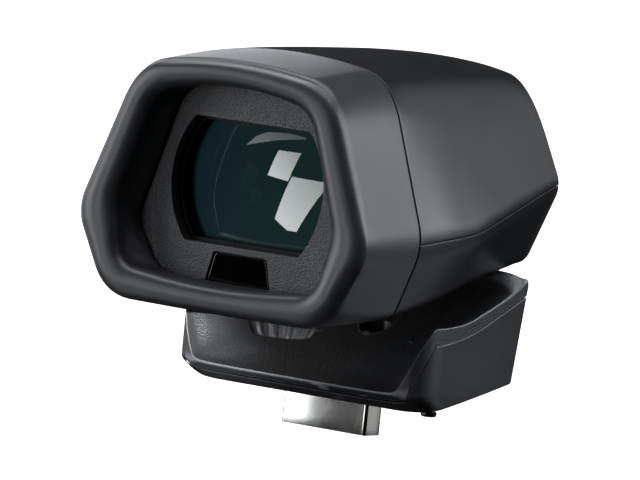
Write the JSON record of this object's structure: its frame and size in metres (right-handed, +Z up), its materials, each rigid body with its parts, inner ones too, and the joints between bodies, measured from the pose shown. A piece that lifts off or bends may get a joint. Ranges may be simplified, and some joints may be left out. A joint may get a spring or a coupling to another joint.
{
  "type": "electronic viewfinder",
  "caption": "Camera-mounted electronic viewfinder: hexagonal eyecup and optics in a hooded head that tilts on a low saddle base with plug, captive screw and locating pins.",
  "frame": {"origin": "centre of the sloping underside of the base, just behind the plug", "axes": "+Z up, against the way the plug is pushed in; +Y the way the eye looks; +X to the user's right"},
  "size_m": [0.0636, 0.0679, 0.0682],
  "materials": {
    "soft_rubber": "satin, soft-touch",
    "grained_cover": "fine moulded grain",
    "lower_case": "satin",
    "plug_metal": "polished",
    "inner_black": "matt",
    "contact_gold": "plated",
    "circuit_board": "solder mask",
    "pin_black": "gloss",
    "screw_steel": "dark plated",
    "bronze": "satin",
    "upper_case": "satin paint",
    "head_lower_case": "satin paint",
    "face_grain": "fine moulded grain",
    "window_gloss": "gloss",
    "ring_black": "matt",
    "lens_glass": "coated",
    "display_glass": "gloss",
    "inner_aluminium": "satin",
    "hinge_metal": "satin",
    "flat_cable": "satin",
    "dial_black": "satin",
    "inner_glass": "coated",
    "mount_steel": "dark plated"
  },
  "bodies": {
    "base": {"base_cover": "grained_cover", "base_lower": "lower_case", "plug_shell": "plug_metal", "plug_insulator": "inner_black", "contact_row_front": "contact_gold", "contact_row_rear": "contact_gold", "connector_board": "circuit_board", "base_screw_1": "screw_steel", "base_screw_2": "screw_steel", "base_screw_3": "screw_steel", "base_screw_4": "screw_steel", "locating_pin_front": "pin_black", "locating_pin_rear": "pin_black", "hinge_pin": "screw_steel", "friction_washer_left": "bronze", "friction_washer_right": "bronze"},
    "head": {"upper_shell": "upper_case", "lower_shell": "head_lower_case", "eyepiece_frame": "face_grain", "sensor_window": "window_gloss", "proximity_sensor": "inner_black", "sensor_board": "circuit_board", "lens_retainer": "ring_black", "eye_lens": "lens_glass", "barrel_guide": "inner_black", "display_holder": "inner_black", "display_panel": "display_glass", "driver_board": "circuit_board", "heat_spreader": "inner_aluminium", "hinge_bracket": "hinge_metal", "head_cable": "flat_cable", "bracket_screw_left": "screw_steel", "bracket_screw_right": "screw_steel", "shell_screw_1": "screw_steel", "shell_screw_2": "screw_steel", "shell_screw_3": "screw_steel", "shell_screw_4": "screw_steel"},
    "eyecup": {"eyecup": "soft_rubber"},
    "dial": {"dioptre_dial": "dial_black", "dial_cam": "bronze", "dial_screw": "screw_steel"},
    "barrel": {"lens_barrel": "inner_black", "middle_lens": "inner_glass", "rear_lens": "inner_glass", "cam_follower": "screw_steel"},
    "mount_screw": {"captive_screw": "mount_steel", "screw_retainer": "screw_steel"}
  },
  "joints": [
    {"name": "head_tilt", "type": "hinge", "parent": "base", "child": "head", "pos_m": [0, 0.01549, 0.01944], "axis": [-1, 0, 0], "range_deg": [0, 70]},
    {"name": "eyecup_pull", "type": "slide", "parent": "head", "child": "eyecup", "axis": [0, -1, 0], "range_m": [0, 0.014]},
    {"name": "dial_turn", "type": "hinge", "parent": "head", "child": "dial", "pos_m": [0, -0.02278, 0.0107], "axis": [0, 0, 1], "range_deg": [-75.1, 75.1]},
    {"name": "barrel_slide", "type": "slide", "parent": "head", "child": "barrel", "axis": [0, 1, 0], "range_m": [-0.0016, 0.0016]},
    {"name": "screw_turn", "type": "hinge", "parent": "base", "child": "mount_screw", "pos_m": [0, 0.0065, 0.0007], "axis": [0, 0, 1], "continuous": true}
  ],
  "couplings": [
    {"joint": "dial_turn", "follows": "barrel_slide", "rad_per_m": 818.12}
  ]
}
